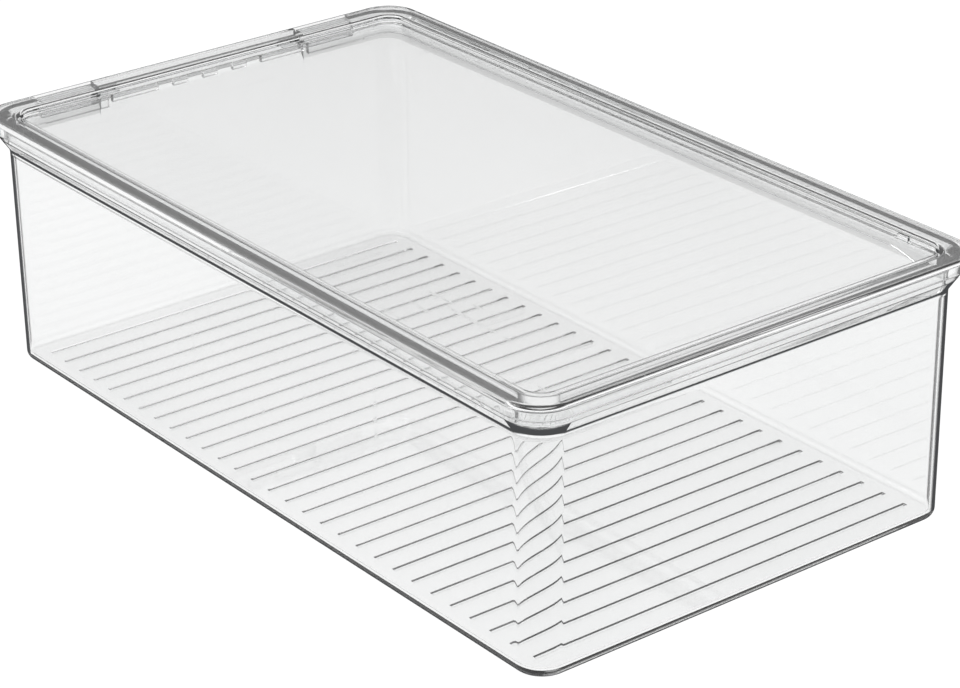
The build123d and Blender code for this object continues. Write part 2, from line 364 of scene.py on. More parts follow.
def bored(piece, profile):
    """Cuts a turned hole into both ends of the hinge with the exact Boolean. The profile is
    drawn on the right, and its x changes sign on the left."""
    material = piece.data.materials[0]
    for hand in (-1, 1):
        name = f"{piece.name}_bore{hand}"
        cut = piece.modifiers.new(name, "BOOLEAN")
        cut.operation, cut.solver = "DIFFERENCE", "EXACT"
        cut.object = turned(name, [(hand * x, r) for x, r in profile], material)
    graph = bpy.context.evaluated_depsgraph_get()
    mesh = bpy.data.meshes.new_from_object(piece.evaluated_get(graph))
    for cut in piece.modifiers:
        bpy.data.objects.remove(cut.object, do_unlink=True)
    piece.modifiers.clear()
    old, piece.data = piece.data, mesh
    bpy.data.meshes.remove(old)
    print(piece.name, "bored:", len(mesh.polygons), "faces")


print("points are welded within", WELD / MM, "mm")

# %% Where the moulding bends
SHARP = radians(35)
NEAREST = 0.05 * MM   # slivers count as this wide, so that they don't look sharply bent

# What a face adds to its turn away from the eye before the painted dark outline is read from
# it, by curvature per mm: -1 keeps flat panels clear, and small roundings darken later than
# the wide corners. Undersides, by their upward lean, darken sooner: painted shade under the rim.
ONSET = ([0.04, 0.06, 0.16, 0.30], [-1, 0, 0, -0.20])
UNDERSIDE_SHADE = ([-0.30, -0.12], [0.16, 0])
# onsets that paint the groove flanks and the barrel's end faces with dark shade
FLANK_ONSET, END_FACE_ONSET = 0.18, 1.0


def read(collection, name, width=1, kind=float):
    """One property of every element of a mesh collection, as an array."""
    flat = np.empty(len(collection) * width, kind)
    collection.foreach_get(name, flat)
    return flat.reshape(-1, width) if width > 1 else flat


def marked_bends(piece):
    """Gives each face its outline onset. Across an edge the curvature is the angle between its
    two faces over the distance between their middles, and a face takes the largest of its
    edges', sharp edges left out."""
    mesh = piece.data
    normals, middles = read(mesh.polygons, "normal", 3), read(mesh.polygons, "center", 3)
    corners = read(mesh.polygons, "loop_total", kind=np.int32)
    owner = np.repeat(np.arange(len(mesh.polygons)), corners)
    by_edge = np.argsort(read(mesh.loops, "edge_index", kind=np.int32), kind="stable")
    one, other = owner[by_edge].reshape(-1, 2).T
    angle = np.arccos(np.clip((normals[one] * normals[other]).sum(1), -1, 1))
    apart = np.linalg.norm(middles[one] - middles[other], axis=1)
    curved = np.where(angle < SHARP, angle / np.maximum(apart, NEAREST), 0)
    bend = np.zeros(len(mesh.polygons))
    for side in (one, other):
        np.maximum.at(bend, side, curved * MM)
    onset = np.interp(bend, *ONSET) + np.interp(normals[:, 2], *UNDERSIDE_SHADE)
    outline = mesh.attributes.new("outline", "FLOAT", "FACE")
    outline.data.foreach_set("value", onset.astype(np.float32))
    print(piece.name, "share of faces on a bend:", round((bend > ONSET[0][0]).mean(), 2))


def darkened(piece, chosen_faces, onset):
    """Gives chosen faces an outline onset of their own."""
    data = piece.data.attributes["outline"].data
    values = read(data, "value", kind=np.float32)
    values[chosen_faces] = onset
    data.foreach_set("value", values)
    print(piece.name, "faces set to darken:", chosen_faces.sum())


def smoothed(piece):
    """Smooth shading with kept sharp edges, marked bends and face-weighted normals."""
    piece.data.polygons.foreach_set("use_smooth", np.ones(len(piece.data.polygons), bool))
    piece.data.set_sharp_from_angle(angle=SHARP)
    marked_bends(piece)
    weighted = piece.modifiers.new("weighted", "WEIGHTED_NORMAL")
    weighted.keep_sharp = True
    weighted.weight = 60


print("edges sharper than", round(degrees(SHARP)), "degrees stay sharp")

# %% [markdown]
# ## Clear moulded styrene
#
# Clear styrene bends light more than acrylic, with an index of about 1.59, and it scratches
# easily. A shader that only fades the surface out would look like film, so the walls are
# real glass-like solids and the shader is a Principled one with full transmission. What
# makes it a moulding rather than glass comes from two shared groups. The first is the slow
# unevenness left as the melt flows into the mould, seen as a faint wobble in reflections
# and a slight change of tone. The second is handling: hair scratches and dulled patches.

# %% Node helpers
def group(name, inputs, outputs):
    """A shader node group with named number inputs and outputs."""
    made = bpy.data.node_groups.new(name, "ShaderNodeTree")
    for label, value in inputs.items():
        socket = made.interface.new_socket(label, in_out="INPUT", socket_type="NodeSocketFloat")
        socket.default_value = value
    for label in outputs:
        made.interface.new_socket(label, in_out="OUTPUT", socket_type="NodeSocketFloat")
    return made, made.nodes.new("NodeGroupInput"), made.nodes.new("NodeGroupOutput")


def node(tree, kind, settings=None, **sockets):
    """A node with its settings, and its inputs either set to a value or linked from a socket.
    An input goes by its label, with _ for a space, or by its number where labels repeat."""
    made = tree.nodes.new("ShaderNode" + kind)
    for key, value in (settings or {}).items():
        setattr(made, key, value)
    for key, value in sockets.items():
        name = key.replace("_", " ")
        socket = made.inputs[int(name)] if name.isdigit() else made.inputs[name]
        if isinstance(value, bpy.types.NodeSocket):
            tree.links.new(value, socket)
        else:
            socket.default_value = value
    return made


def maths(tree, operation, a, b):
    """One Math node of two numbers or sockets."""
    return node(tree, "Math", {"operation": operation}, **{"0": a, "1": b}).outputs[0]


def between(tree, value, low, high):
    """Carries low..high to 0..1, smoothly and held at both ends."""
    smooth = {"interpolation_type": "SMOOTHSTEP"}
    return node(tree, "MapRange", smooth, Value=value, From_Min=low, From_Max=high).outputs[0]


def tinted(tree, share, light, deep):
    """A colour that goes from light to deep as share goes from 0 to 1."""
    ends = {"0": share, "6": (*light, 1), "7": (*deep, 1)}
    return node(tree, "Mix", {"data_type": "RGBA"}, **ends).outputs[2]


def noise(tree, per_metre, detail, turn=(0.0, 0.0, 0.0), finer=1.0):
    """Noise on Object coordinates, turned and then scaled to so many swells a metre along each
    axis by a Mapping node."""
    where = tree.nodes.new("ShaderNodeTexCoord").outputs["Object"]
    placed = node(tree, "Mapping", Vector=where, Scale=per_metre, Rotation=turn).outputs[0]
    return node(tree, "TexNoise", Vector=placed, Scale=finer, Detail=detail).outputs[0]


print("a node's inputs are named by label or by number")

# %% Melt flow
SWIRL, RIPPLE, RIPPLE_SHARE = (9.0, 6.0, 14.0), (38.0, 24.0, 55.0), 0.18
TONE = (0.35, 0.65)

flow, flow_in, flow_out = group("melt_flow", {"Scale": 1.0}, ["Height", "Tone"])
swirl = noise(flow, SWIRL, 1.5, finer=flow_in.outputs["Scale"])
ripple = noise(flow, RIPPLE, 2.0, finer=flow_in.outputs["Scale"])
height = maths(flow, "ADD", swirl, maths(flow, "MULTIPLY", ripple, RIPPLE_SHARE))
flow.links.new(height, flow_out.inputs["Height"])
flow.links.new(between(flow, swirl, *TONE), flow_out.inputs["Tone"])
print("melt_flow nodes:", len(flow.nodes))

# %% Handling marks
# Hair scratches are noise drawn out along two directions, each a turn and swells a metre.
HAIRS = (((0.0, 0.0, 0.5), (16.0, 520.0, 40.0)), ((0.3, 0.2, 2.1), (460.0, 14.0, 30.0)))
HAIR_EDGE, PATCHES, PATCH_EDGE = (0.70, 0.76), (22.0, 22.0, 22.0), (0.45, 0.62)
RUBBED, RUBBED_EDGE = (60.0, 60.0, 60.0), (0.48, 0.72)

marks, marks_in, marks_out = group("handling_marks", {"Amount": 1.0}, ["Scratches", "Dulling"])
threads = [between(marks, noise(marks, fine, 1.0, turn), *HAIR_EDGE) for turn, fine in HAIRS]
patches = between(marks, noise(marks, PATCHES, 2.0), *PATCH_EDGE)
hairs = maths(marks, "MULTIPLY", maths(marks, "MAXIMUM", *threads), patches)
dull = between(marks, noise(marks, RUBBED, 4.0), *RUBBED_EDGE)
for label, mark in (("Scratches", hairs), ("Dulling", dull)):
    amount = maths(marks, "MULTIPLY", mark, marks_in.outputs["Amount"])
    marks.links.new(amount, marks_out.inputs[label])
print("shared groups:", [tree.name for tree in bpy.data.node_groups])

# %% [markdown]
# Each piece then has its own material with the groups at its own strength. The tint is very
# faint, since light crosses four or more skins on its way through the closed box and each
# crossing adds to it.
#
# A rounded edge of clear plastic looks dark along its rim: light that meets the bend almost
# edge-on is led round inside the wall and never comes out towards the eye. A renderer with
# a bright table all round can't show that, so a dark matt shader paints that shade in as a
# bend turns away. Layer Weight gives the turn, the face's outline number is added to it, and
# flat panels have a number so low that they stay clear. The painted dark line follows the
# edge from every side.

# %% Clear materials
STYRENE_INDEX = 1.59
OUTLINE = (0.48, 0.64)   # turn away from the eye where the dark line starts, and is full
# grey of the dark matt shader: painted shade along bends and edges
PAINTED_SHADE_GREY = (0.072, 0.074, 0.077)
SCRATCHED_ROUGH, DULLED_ROUGH = 0.10, 0.012
WAVE, SCRATCH, SCRATCH_STRENGTH = 0.4 * MM, 0.02 * MM, 0.12


def clear_styrene(name, light_tint, deep_tint, wobble, wear, polish):
    """Clear glossy plastic. Roughness is polish plus what the marks add, and on a rounded
    edge met almost edge-on the shader goes over to a dark one."""
    material = bpy.data.materials.new(name)
    material.use_nodes = True
    tree = material.node_tree
    tree.nodes.clear()
    flowing = node(tree, "Group", {"node_tree": flow})
    handled = node(tree, "Group", {"node_tree": marks}, Amount=wear)
    scratches, dulling = handled.outputs["Scratches"], handled.outputs["Dulling"]
    tint = tinted(tree, flowing.outputs["Tone"], light_tint, deep_tint)
    worn = maths(tree, "ADD", maths(tree, "MULTIPLY", scratches, SCRATCHED_ROUGH), polish)
    rough = maths(tree, "ADD", maths(tree, "MULTIPLY", dulling, DULLED_ROUGH), worn)
    wavy = node(tree, "Bump", Strength=wobble, Distance=WAVE, Height=flowing.outputs["Height"])
    scratched = node(
        tree, "Bump", {"invert": True}, Strength=SCRATCH_STRENGTH, Distance=SCRATCH,
        Height=scratches, Normal=wavy.outputs[0],
    )
    plastic = node(
        tree, "BsdfPrincipled", Base_Color=tint, Roughness=rough, IOR=STYRENE_INDEX,
        Transmission_Weight=1.0, Normal=scratched.outputs[0],
    )
    # the dark outline is painted shade: a dark matt shader mixed in by the turn away from the eye
    # plus the face's onset
    onset = node(tree, "Attribute", {"attribute_name": "outline"}).outputs["Fac"]
    turn = node(tree, "LayerWeight", Blend=0.5).outputs["Facing"]
    painted_shade_share = between(tree, maths(tree, "ADD", turn, onset), *OUTLINE)
    shade = node(tree, "BsdfDiffuse", Color=(*PAINTED_SHADE_GREY, 1))
    ends = {"0": painted_shade_share, "1": plastic.outputs[0], "2": shade.outputs[0]}
    node(tree, "OutputMaterial", Surface=node(tree, "MixShader", **ends).outputs[0])
    return material


tub_clear = clear_styrene(
    "clear_styrene_tub", (0.929, 0.932, 0.932), (0.917, 0.921, 0.921),
    wobble=0.10, wear=0.8, polish=0.012,
)
lid_clear = clear_styrene(
    "clear_styrene_lid", (0.952, 0.955, 0.955), (0.940, 0.944, 0.945),
    wobble=0.10, wear=1.0, polish=0.010,
)
pin_clear = clear_styrene(
    "clear_styrene_pin", (0.86, 0.865, 0.87), (0.80, 0.81, 0.815),
    wobble=0.05, wear=0.3, polish=0.030,
)
print("materials:", [m.name for m in (tub_clear, lid_clear, pin_clear)])

# %% [markdown]
# ## The tub
#
# The tub's profile starts under the base, turns up the drafted wall, swells through a cove
# into the rim flange and comes back down inside to the floor. Three other profiles stand in
# along the back: the bare wall where the lid's barrel sits, and the two knuckles, whose
# round outline merges into the flange. All four have the same number of points, so where
# two neighbouring stations use different ones the faces between them are a knuckle's end.

# %% The tub's wall and rim
def wall_inset(z):
    """The drafted outer wall: overhang + (rim - z) tan(draft)."""
    return OVERHANG + (RIM - z) * tan(DRAFT)


def tub_row(inset, z):
    """A row of the tub's drawing. All its roundings turn about one centre, with no shift."""
    return (inset, z, TUB_CENTRE, 0.0)


COVE_POINTS, FLANGE_POINTS = 14, 24   # every variant of a stretch has as many
COVE_Z, FLANGE_Z = TOP - COVE_DROP, TOP - FLANGE_DROP
BELOW_COVE = COVE_Z - 4 * MM
FLOOR_RING = wall_inset(FLOOR) + WALL + 3 * MM
HINGE = np.array([AXIS_INSET, AXIS_Z])

# the cove's slope runs up to the knuckle's round, and the round leaves up the flange's face
slope_start = np.array([wall_inset(COVE_Z), COVE_Z])
slope_way = np.array([FLANGE_INSET, FLANGE_Z]) - slope_start
slope_way /= np.linalg.norm(slope_way)
to_hinge = HINGE - slope_start
nearest = to_hinge @ slope_way
meeting = slope_start + slope_way * (
    nearest - sqrt(nearest**2 - to_hinge @ to_hinge + BARREL_R**2)
)
over = sqrt(BARREL_R**2 - (AXIS_INSET - FLANGE_INSET) ** 2)
leaving = np.array([FLANGE_INSET, AXIS_Z + over])

WALL_TOP = tub_row(wall_inset(BELOW_COVE), BELOW_COVE)
CREST = tub_row(FLANGE_INSET + 1.2 * MM, RIM)
lower_wall = rounded(
    [tub_row(FLOOR_RING, 0), tub_row(wall_inset(0), 0), WALL_TOP], [BASE_EDGE_R], 8
)
cove = rounded([WALL_TOP, tub_row(*slope_start), tub_row(*meeting)], [COVE_R], 8)
cove = resampled(cove, COVE_POINTS)
flange_side = rounded(
    [tub_row(*meeting), tub_row(FLANGE_INSET, FLANGE_Z), tub_row(*leaving)], [FLANGE_EDGE_R], 8
)
flange_side = resampled(flange_side, FLANGE_POINTS)
rim_lip = rounded([tub_row(*leaving), tub_row(FLANGE_INSET, RIM), CREST], [EDGE_R], 5)
inside = rounded(
    [
        CREST,
        tub_row(OVERHANG + WALL, RIM),
        tub_row(wall_inset(FLOOR) + WALL, FLOOR),
        tub_row(FLOOR_RING, FLOOR),
    ],
    [EDGE_R, FLOOR_FILLET_R], 8,
)[1:]
print("rim flange", round((OVERHANG - FLANGE_INSET) / MM, 1), "mm proud of the wall")


# %% The tub's variants along the back
def knuckle_side(r):
    """From the cove round the outside of a knuckle of radius r to the flange's face."""
    first, last = (degrees(atan2(*(end - HINGE)[::-1])) % 360 for end in (meeting, leaving))
    return around(HINGE, r, first, last, FLANGE_POINTS, TUB_CENTRE)


def straight(profile, inset):
    """The same heights as a profile on a plain upright wall."""
    return np.stack([np.full(len(profile), inset), *profile[:, 1:].T], 1)


bare_lip = rim_lip + [OVERHANG - FLANGE_INSET, 0, 0, 0]
tub_variants = [
    np.concatenate([lower_wall, cove_part, side, lip, inside])
    for cove_part, side, lip in (
        (cove, flange_side, rim_lip),
        (cove, knuckle_side(BARREL_R - KNUCKLE_CHAMFER), rim_lip),
        (cove, knuckle_side(BARREL_R), rim_lip),
        (straight(cove, OVERHANG), straight(flange_side, OVERHANG), bare_lip),
    )
]
print("tub profile points:", len(tub_variants[0]))

# %% [markdown]
# Shallow grooves run across the floor. They are part of the same sheet: its rows follow
# each groove's two flanks, its columns crowd together at the grooves' ends, and a point is
# lowered by how far it lies inside the groove's outline, a slot with round ends. From low
# down each groove shows a strong line, the flank facing the eye, and a faint one, the near
# edge. A raised rib would show them the other way round.

# %% Where the tub has its stations
GROOVE_ROWS = np.array([0.72, 0.80, 0.88, 0.94, 1.005]) * MM   # from a groove's middle line

groove_lines = GROOVE_PITCH * (np.arange(GROOVE_COUNT) - (GROOVE_COUNT - 1) / 2)
both_sides = np.concatenate([-GROOVE_ROWS, GROOVE_ROWS])
tub_y = np.sort(np.add.outer(groove_lines, both_sides).ravel())
chamfers = [
    sign * edge for sign in (-1, 1)
    for edge in (KNUCKLE[0] + KNUCKLE_CHAMFER, KNUCKLE[1] - KNUCKLE_CHAMFER)
]
tub_x = np.unique(np.concatenate([steps_at(*KNUCKLE), chamfers]))
tub_plan = plan(tub_x, tub_y)

tub_x_here, at_back = np.abs(tub_plan["origin"][:, 0]), tub_plan["side"] == 2
tub_choice = np.zeros(len(tub_x_here), int)
tub_choice[at_back & (tub_x_here < KNUCKLE[1])] = 1
tub_choice[at_back & (tub_x_here < KNUCKLE[1] - KNUCKLE_CHAMFER / 2)] = 2
tub_choice[at_back & (tub_x_here < KNUCKLE[0] + KNUCKLE_CHAMFER / 2)] = 1
tub_choice[at_back & (tub_x_here < KNUCKLE[0])] = 3
print("tub stations:", len(tub_choice), "of which each variant has", np.bincount(tub_choice))

# %% Grooves in the floor's sheet
# depth against distance in from a groove's outline, and columns by distance past its end
GROOVE_FLANK = (
    [0, 0.06 * MM, 0.12 * MM, 0.20 * MM, 0.28 * MM],
    [0, 0.17 * MM, 0.37 * MM, 0.54 * MM, GROOVE_DEPTH],
)
END_COLUMNS = np.array([1.5, 0.02, -0.06, -0.12, -0.20, -0.28, -0.40, -0.60, -1.0, -2.0]) * MM
REACHED = 1.2 * MM   # a row this near a groove's middle line takes the crowded columns

base_sheet = sheet(tub_plan, FLOOR_RING, TUB_CENTRE, 0.0, 0.0)
floor_sheet = sheet(tub_plan, FLOOR_RING, TUB_CENTRE, 0.0, FLOOR)
crowded = GROOVE_END + END_COLUMNS
grooved = np.abs(floor_sheet[:, len(tub_x) // 2 + ARC, 1]) < groove_lines[-1] + REACHED
floor_sheet[grooved, 1 : ARC + 1, 0] = -crowded
floor_sheet[grooved, -ARC - 1 : -1, 0] = crowded[::-1]
past_end = np.maximum(np.abs(floor_sheet[..., 0]) - (GROOVE_END - GROOVE_WIDTH / 2), 0)
last = GROOVE_COUNT // 2
own_line = GROOVE_PITCH * np.clip(np.round(floor_sheet[..., 1] / GROOVE_PITCH), -last, last)
inside_groove = GROOVE_WIDTH / 2 - np.hypot(past_end, floor_sheet[..., 1] - own_line)
floor_sheet[..., 2] -= np.interp(inside_groove, *GROOVE_FLANK)
print("deepest point of the floor:", round(floor_sheet[..., 2].min() / MM, 2), "mm")

# %% The tub
tub_profile = chosen(tub_variants, tub_choice)
clear_tub = shell("clear_tub", tub_plan, tub_profile, base_sheet, floor_sheet, tub_clear)

tip, seat, mouth = KNUCKLE[0] - 0.3 * MM, KNUCKLE[1] - PIN_HEAD, KNUCKLE[1] + OVERRUN
bored(clear_tub, [
    (tip, 0), (tip, PIN_R), (seat, PIN_R), (seat, PIN_HEAD_R), (mouth, PIN_HEAD_R), (mouth, 0),
])
smoothed(clear_tub)
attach(clear_tub, "tub")
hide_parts("tub")
print("tub faces:", len(clear_tub.data.polygons))

# %% [markdown]
# Two kinds of face draw a dark line though they aren't rounded. Light that meets a groove's
# flank is trapped in the base plate. Where knuckle and barrel meet end to end, the film of
# air between them turns light back. They get a higher outline number than their bend gives,
# so that the painted shade makes them dark from every side.

# %% Faces painted dark
END_FACE_LEAN, END_FACE_REACH, HINGE_DEPTH = 0.8, 0.6 * MM, 8 * MM


def barrel_ends(piece):
    """Which faces are end faces where knuckle and barrel meet: they face along the hinge axis,
    close to that plane and close to the back."""
    along = np.abs(read(piece.data.polygons, "normal", 3)[:, 0]) > END_FACE_LEAN
    x, y = np.abs(read(piece.data.polygons, "center", 3)[:, :2]).T
    return along & (np.abs(x - KNUCKLE[0]) < END_FACE_REACH) & (y > AXIS_Y - HINGE_DEPTH)


GROOVE_BOX = [GROOVE_END, groove_lines[-1] + GROOVE_WIDTH, GROOVE_DEPTH / 2 - 0.03 * MM]
groove_middle = [0, 0, FLOOR - GROOVE_DEPTH / 2]
off_middle = np.abs(read(clear_tub.data.polygons, "center", 3) - groove_middle)
# painted shade on the groove flanks and on the knuckles' end faces
darkened(clear_tub, (off_middle < GROOVE_BOX).all(1), FLANK_ONSET)
darkened(clear_tub, barrel_ends(clear_tub), END_FACE_ONSET)

# %% [markdown]
# ## The lid
#
# The lid's profile starts under the recessed panel, drops round the locating skirt that
# sits inside the tub, crosses under the crown, drops again round the outer skirt and comes
# back over the bead into the recess. Along the back the locating skirt is cut to tabs, lips
# and two guards, and the outer skirt grows into the hinge barrel or is left out over the
# tub's knuckles. The locating skirt's depth is a scale on its lower half, so one profile
# serves the deep front, the sides, the tabs and the cut places.

# %% The lid's two skirts
def lid_row(inset, drop, far_in=1.0):
    """A row of the lid's drawing. far_in goes from 0, turning about the outer corners'
    centre, to 1, about the locating skirt's, which is also shifted in along the back."""
    centre = LID_CENTRE + far_in * (TUB_CENTRE - LID_CENTRE)
    return (inset, TOP - drop, centre, far_in * BACK_SHIFT)


TURN_POINTS, HEM_POINTS, FOOT_POINTS = 14, 32, 22   # every variant of a stretch has as many
HEM_FOOT_POINTS = 5
UNDER = PANEL_DROP + PANEL
INNER_FACE = INNER_INSET + INNER_SKIRT
PANEL_RING = INNER_INSET + INNER_SKIRT + 1.5 * MM

# where the stretches of the drawing meet
MID_CROWN = lid_row(4.0 * MM, CROWN, 0)
HEM_ROOT = lid_row(SKIRT, 4.2 * MM, 0)
OUTER_EDGE = lid_row(0, CROWN - 0.1 * MM, 0)
INNER_EDGE = lid_row(INNER_FACE, CROWN_INNER_R + 0.2 * MM)

skirt_line = rounded(
    [
        lid_row(PANEL_RING, UNDER), lid_row(INNER_FACE, UNDER), lid_row(INNER_FACE, SIDE_DEPTH),
        lid_row(INNER_INSET, SIDE_DEPTH), lid_row(INNER_INSET, CROWN), MID_CROWN,
    ],
    [0.5 * MM, 0.45 * MM, 0.45 * MM, 0.4 * MM],
)
hem_top = rounded([MID_CROWN, lid_row(SKIRT, CROWN, 0), HEM_ROOT], [0.6 * MM])
hem = rounded(
    [
        HEM_ROOT, lid_row(SKIRT, SKIRT_DROP, 0),
        lid_row(0, SKIRT_DROP, 0), lid_row(0, SKIRT_DROP - 0.9 * MM, 0),
    ],
    [0.4 * MM, 0.4 * MM],
)
plain_hem = np.concatenate(
    [resampled(hem_top, TURN_POINTS), resampled(hem, HEM_POINTS), [OUTER_EDGE]]
)
open_hem = plain_hem.copy()
open_hem[:, 1] = np.maximum(open_hem[:, 1], TOP - CROWN)
print("locating skirt points:", len(skirt_line), "outer skirt points:", len(plain_hem))

# %% The lid's barrel
web_inset = AXIS_INSET - BARREL_R + WEB
web_foot = AXIS_Z + sqrt(BARREL_R**2 - (AXIS_INSET - web_inset) ** 2)
web_top = rounded(
    [MID_CROWN, lid_row(web_inset, CROWN, 0), lid_row(web_inset, TOP - web_foot, 0)], [0.5 * MM]
)
web_angle = degrees(atan2(web_foot - AXIS_Z, web_inset - AXIS_INSET))
barrel_foot = np.array([
    lid_row(AXIS_INSET - BARREL_R, TOP - AXIS_Z - 0.3 * MM, 0),
    lid_row(AXIS_INSET - BARREL_R, SKIRT_DROP, 0),
    lid_row(0, SKIRT_DROP - 0.2 * MM, 0),
])
barrel_hem = np.concatenate([
    resampled(web_top, TURN_POINTS),
    around(HINGE, BARREL_R, web_angle, -180, HEM_POINTS - HEM_FOOT_POINTS, LID_CENTRE),
    resampled(barrel_foot, HEM_FOOT_POINTS),
    [OUTER_EDGE],
])
print("the barrel's round covers", round(web_angle + 180), "degrees")

# %% The lid's bead and the wall of its recess
bead = rounded(
    [OUTER_EDGE, lid_row(0, 0, 0), lid_row(INNER_FACE, 0), INNER_EDGE],
    [CROWN_OUTER_R, CROWN_INNER_R], 8,
)
wall_foot = rounded(
    [INNER_EDGE, lid_row(INNER_FACE, PANEL_DROP), lid_row(PANEL_RING, PANEL_DROP)], [0.5 * MM]
)
nub_top, nub_face = PANEL_DROP - NUB_HEIGHT, INNER_FACE + NUB_PROUD
nub_foot = rounded(
    [
        INNER_EDGE, lid_row(INNER_FACE, nub_top), lid_row(nub_face, nub_top),
        lid_row(nub_face, PANEL_DROP), lid_row(PANEL_RING, PANEL_DROP),
    ],
    [0.1 * MM, 0.3 * MM, 0.1 * MM],
)
lid_variants = [
    np.concatenate([skirt_line, skirt_part, bead, resampled(foot, FOOT_POINTS)])
    for skirt_part in (plain_hem, open_hem, barrel_hem)
    for foot in (wall_foot, nub_foot)
]
print("lid profile points:", len(lid_variants[0]))

# %% Where the lid has its stations
tab_edges = [abs(i * TAB_PITCH + e * TAB_WIDTH / 2) for i in (0, 1) for e in (-1, 1)]
tab_edges = sorted(set(np.round(tab_edges, 6)))
lid_x = steps_at(*tab_edges, *LIP, *GUARD, BARREL_HALF, NOTCH_END)
nub_stops = np.array([end + step for end in NUB_Y for step in (-GAP, GAP)])
lid_plan = plan(lid_x, np.unique(np.concatenate([FRONT_TURN, nub_stops])))

lid_x_here, y_here = np.abs(lid_plan["origin"][:, 0]), lid_plan["origin"][:, 1]
at_back = lid_plan["side"] == 2
hem_choice = np.zeros(len(lid_x_here), int)
hem_choice[at_back & (lid_x_here < NOTCH_END)] = 1
hem_choice[at_back & (lid_x_here < BARREL_HALF)] = 2
on_nub = (lid_plan["side"] % 2 == 1) & (y_here > NUB_Y[0]) & (y_here < NUB_Y[1])
lid_profile = chosen(lid_variants, 2 * hem_choice + on_nub)
print("lid stations:", len(hem_choice), "of which", on_nub.sum(), "are on the two nubs")

# %% How deep the locating skirt goes
t = np.clip((y_here - FRONT_TURN[0]) / (FRONT_TURN[-1] - FRONT_TURN[0]), 0, 1)
depth = FRONT_DEPTH + (SIDE_DEPTH - FRONT_DEPTH) * t * t * (3 - 2 * t)
off_tab = np.abs(lid_x_here - TAB_PITCH * np.round(lid_x_here / TAB_PITCH)) > TAB_WIDTH / 2
cut = off_tab | (lid_x_here > 1.5 * TAB_PITCH)
lip = (lid_x_here > LIP[0]) & (lid_x_here < LIP[1])
depth[at_back & (lid_x_here < GUARD[1])] = GUARD_DEPTH
depth[at_back & (lid_x_here < GUARD[0]) & ~cut] = LIP_DEPTH
depth[at_back & (lid_x_here < GUARD[0]) & cut] = UNDER + GAP
depth[at_back & lip] = LIP_DEPTH

skirt_rows, root = slice(0, len(skirt_line)), TOP - UNDER
z = lid_profile[skirt_rows, :, 1]
deeper = root + (z - root) * (depth - UNDER) / (SIDE_DEPTH - UNDER)
lid_profile[skirt_rows, :, 1] = np.where(z < root, deeper, z)
print("skirt depth in mm:", np.unique(np.round(depth[at_back] / MM, 1)), "along the back")

# %% The lid
under_sheet = sheet(lid_plan, PANEL_RING, TUB_CENTRE, BACK_SHIFT, TOP - UNDER)
panel_sheet = sheet(lid_plan, PANEL_RING, TUB_CENTRE, BACK_SHIFT, TOP - PANEL_DROP)
clear_lid = shell("clear_lid", lid_plan, lid_profile, under_sheet, panel_sheet, lid_clear)

tip, mouth, bore_r = PIN_TIP_X - BORE_END, BARREL_HALF + OVERRUN, PIN_R + RUNNING_FIT
bored(clear_lid, [(tip, 0), (tip, bore_r), (mouth, bore_r), (mouth, 0)])
smoothed(clear_lid)
# painted shade on the barrel's end faces
darkened(clear_lid, barrel_ends(clear_lid), END_FACE_ONSET)
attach(clear_lid, "lid")
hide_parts("lid")
print("lid faces:", len(clear_lid.data.polygons))

# %% [markdown]
# ## The hinge pins
#
# Each pin is a short headed rod, pressed through the tub's knuckle and running in the lid's
# barrel. It is a turned shape, so its radius along the axis is all there is to draw. It is
# a hair thinner than its bore: plastic pressed into plastic still keeps a film of air, and
# that film is what makes a clear pin visible at all.

# %% The pins
AIR = 0.03 * MM
shaft, head = PIN_R - AIR, PIN_HEAD_R - AIR
neck, end = KNUCKLE[1] - PIN_HEAD + AIR, KNUCKLE[1]
TIP_CHAMFER, EDGE = 0.4 * MM, 0.2 * MM
quarter = np.radians(np.linspace(0, 90, 6))
pin_line = [
    (PIN_TIP_X, 0), (PIN_TIP_X, shaft - TIP_CHAMFER), (PIN_TIP_X + TIP_CHAMFER, shaft),
    (PIN_TIP_X + 0.6 * MM, shaft), (neck - 0.2 * MM, shaft), (neck, shaft),
    (neck, head - 0.05 * MM), (neck + 0.05 * MM, head),
]
pin_line += [(end - EDGE + EDGE * sin(a), head - EDGE + EDGE * cos(a)) for a in quarter]
pin_line += [(end, head / 2), (end, 0)]

for hand, side in ((-1, "left"), (1, "right")):
    profile = [(hand * x, r) for x, r in pin_line]
    pin = turned(f"clear_pin_{side}", profile, pin_clear, segments=32)
    smoothed(pin)
    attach(pin, "tub")
    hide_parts(f"hinge_pin_{side}")
print("pin length:", round((end - PIN_TIP_X) / MM, 1), "mm")

# %% [markdown]
# ## Studio
#
# Clear plastic has almost no colour of its own: what shows is what it bends and mirrors. A
# white room all round would make the box vanish, and a dark one would turn it grey. The
# usual answer is a bright table with a large soft ceiling and darker walls, so the faces
# stay light while every edge, which gathers light from low down, draws a dark line.

# %% Floor
FLOOR_REACH, FLOOR_GAP = 2.5, 0.4 * MM   # radius, and how far it lies below the box
DARK_PAPER, PALE_PAPER = (0.05, 0.05, 0.05), (0.06, 0.06, 0.06)


def swept_floor(reach, drop, rows=14, columns=72):
    """A level disc whose points are (r cos t, r sin t, -drop), r growing as the square of its
    row."""
    r = (reach * np.linspace(0, 1, rows) ** 2)[:, None]
    t = np.linspace(0, 2 * pi, columns, endpoint=False)[None, :]
    points = np.stack([r * np.cos(t), r * np.sin(t), np.full((rows, columns), -drop)], -1)
    return points.reshape(-1, 3), strip_faces(rows, columns)[:, ::-1]


